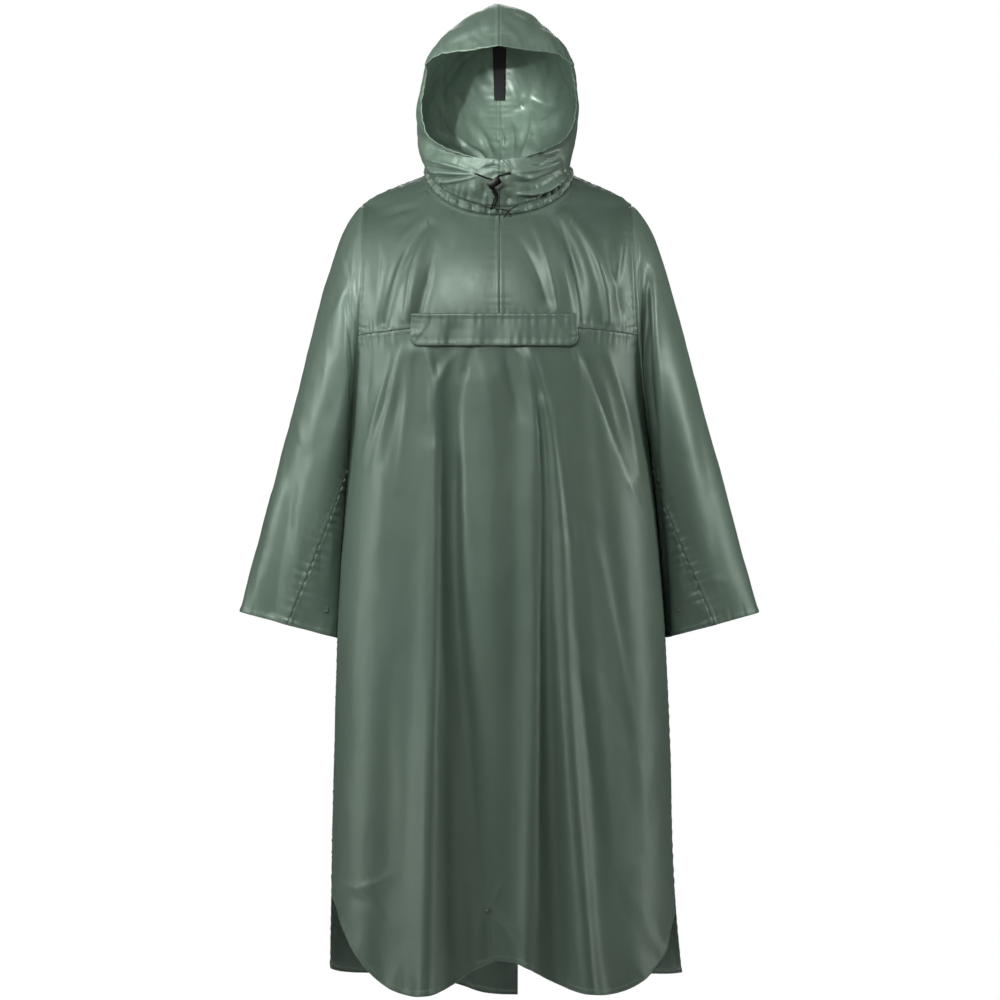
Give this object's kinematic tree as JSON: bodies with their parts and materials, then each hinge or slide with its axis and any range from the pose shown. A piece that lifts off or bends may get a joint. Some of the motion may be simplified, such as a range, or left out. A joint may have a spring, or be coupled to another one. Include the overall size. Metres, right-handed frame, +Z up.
{
  "type": "rain poncho",
  "caption": "Long sleeved rain poncho of coated nylon in its worn form, with a peaked drawcord hood, gathered neck, chest flap, wide sleeves and a shirt-tail hem",
  "frame": {"origin": "between the wearer's shoulders, level with the neck seam, in the middle of the body", "axes": "+Z up, the front faces -Y, +X to the wearer's left"},
  "size_m": [0.7829, 0.3851, 1.505],
  "materials": {
    "nylon": "glossy coated nylon",
    "webbing": "matte woven webbing",
    "braid": "matte braided cord",
    "black_plastic": "satin moulded",
    "green_plastic": "satin moulded"
  },
  "bodies": {
    "root": {"yoke_left": "nylon", "yoke_right": "nylon", "front_panel": "nylon", "back_upper_left": "nylon", "back_upper_right": "nylon", "back_lower_left": "nylon", "back_lower_right": "nylon", "sleeve_left": "nylon", "sleeve_right": "nylon", "gusset_left": "nylon", "gusset_right": "nylon", "hood_left": "nylon", "hood_right": "nylon", "neck_casing": "nylon", "chest_flap": "nylon", "hood_tape": "webbing", "eyelet_left": "black_plastic", "eyelet_right": "black_plastic", "cord_lock": "black_plastic", "cord_plunger": "black_plastic", "cord_knot": "braid", "hood_cord_left": "braid", "hood_cord_right": "braid", "hood_cord_end_left": "braid", "hood_cord_end_right": "braid", "neck_cord_left": "braid", "neck_cord_right": "braid", "snap_cuff_left": "green_plastic", "snap_cuff_right": "green_plastic", "snap_hem": "green_plastic"}
  },
  "joints": []
}
